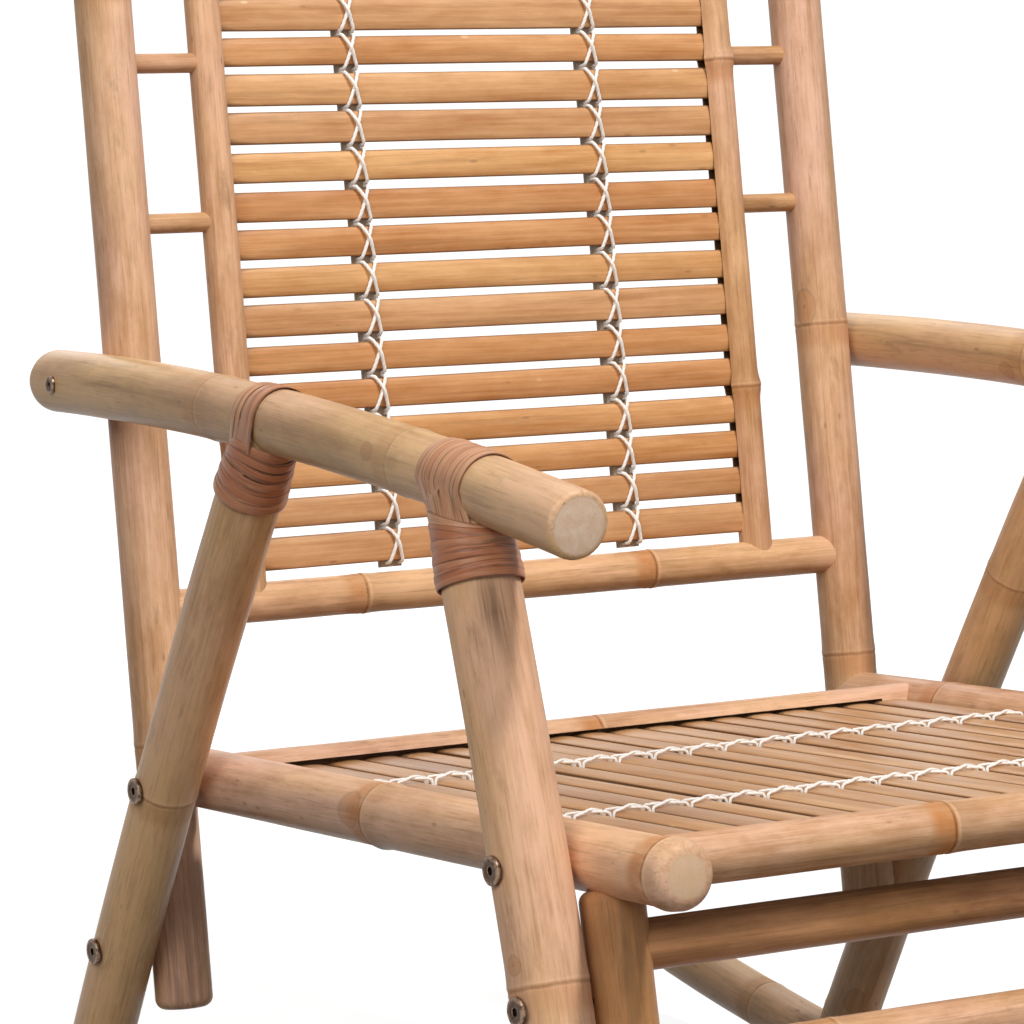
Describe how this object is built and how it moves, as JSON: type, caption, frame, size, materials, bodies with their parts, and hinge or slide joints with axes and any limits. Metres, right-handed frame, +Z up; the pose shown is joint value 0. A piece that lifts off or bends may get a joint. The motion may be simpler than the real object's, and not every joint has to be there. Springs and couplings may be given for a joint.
{
  "type": "bamboo rocking chair",
  "caption": "Low rocking chair of bamboo poles: slatted back and seat laced with cord, armrests lashed with rattan on splayed legs, a ladder front and bent rockers.",
  "frame": {"origin": "on the floor under the middle of the chair, level with the lowest line of the rockers", "axes": "+Z up, the chair faces -Y, +X to the sitter's left"},
  "size_m": [0.6766, 1.0394, 1.0294],
  "materials": {
    "pole": "clear-varnished bamboo culm, satin",
    "smoked_pole": "smoked bamboo culm, satin varnish",
    "slat": "split bamboo slats, honey varnish",
    "rattan": "stained rattan strip, semi-gloss",
    "lace": "off-white cotton cord, matt",
    "steel": "bronzed steel, satin",
    "dowel": "plain hardwood"
  },
  "bodies": {
    "root": {"arm_screw_left": "steel", "arm_screw_right": "steel", "armrest_left": "smoked_pole", "armrest_right": "smoked_pole", "back_lacing_left": "lace", "back_lacing_right": "lace", "back_lower_rail": "pole", "back_peg_lower_left": "pole", "back_peg_lower_right": "pole", "back_peg_upper_left": "pole", "back_peg_upper_right": "pole", "back_post_left": "pole", "back_post_right": "pole", "back_slats": "slat", "back_top_rail": "pole", "back_upright_left": "pole", "back_upright_right": "pole", "front_bar_1": "pole", "front_bar_2": "pole", "front_bar_3": "pole", "front_bar_4": "pole", "front_foot_dowel_left": "dowel", "front_foot_dowel_right": "dowel", "front_frame_bolt_lower_left": "steel", "front_frame_bolt_lower_right": "steel", "front_frame_bolt_upper_left": "steel", "front_frame_bolt_upper_right": "steel", "front_lashing_left": "rattan", "front_lashing_right": "rattan", "front_leg_left": "pole", "front_leg_right": "pole", "front_pole_left": "pole", "front_pole_right": "pole", "front_seat_bolt_left": "steel", "front_seat_bolt_right": "steel", "post_bolt_left": "steel", "post_bolt_right": "steel", "rear_foot_dowel_left": "dowel", "rear_foot_dowel_right": "dowel", "rear_lashing_left": "rattan", "rear_lashing_right": "rattan", "rear_leg_left": "smoked_pole", "rear_leg_right": "smoked_pole", "rear_seat_bolt_left": "steel", "rear_seat_bolt_right": "steel", "rocker_left": "pole", "rocker_right": "pole", "seat_front_rail": "pole", "seat_lacing_front": "lace", "seat_lacing_rear": "lace", "seat_rear_rail": "pole", "seat_side_rail_left": "pole", "seat_side_rail_right": "pole", "seat_slats": "slat"}
  },
  "joints": []
}
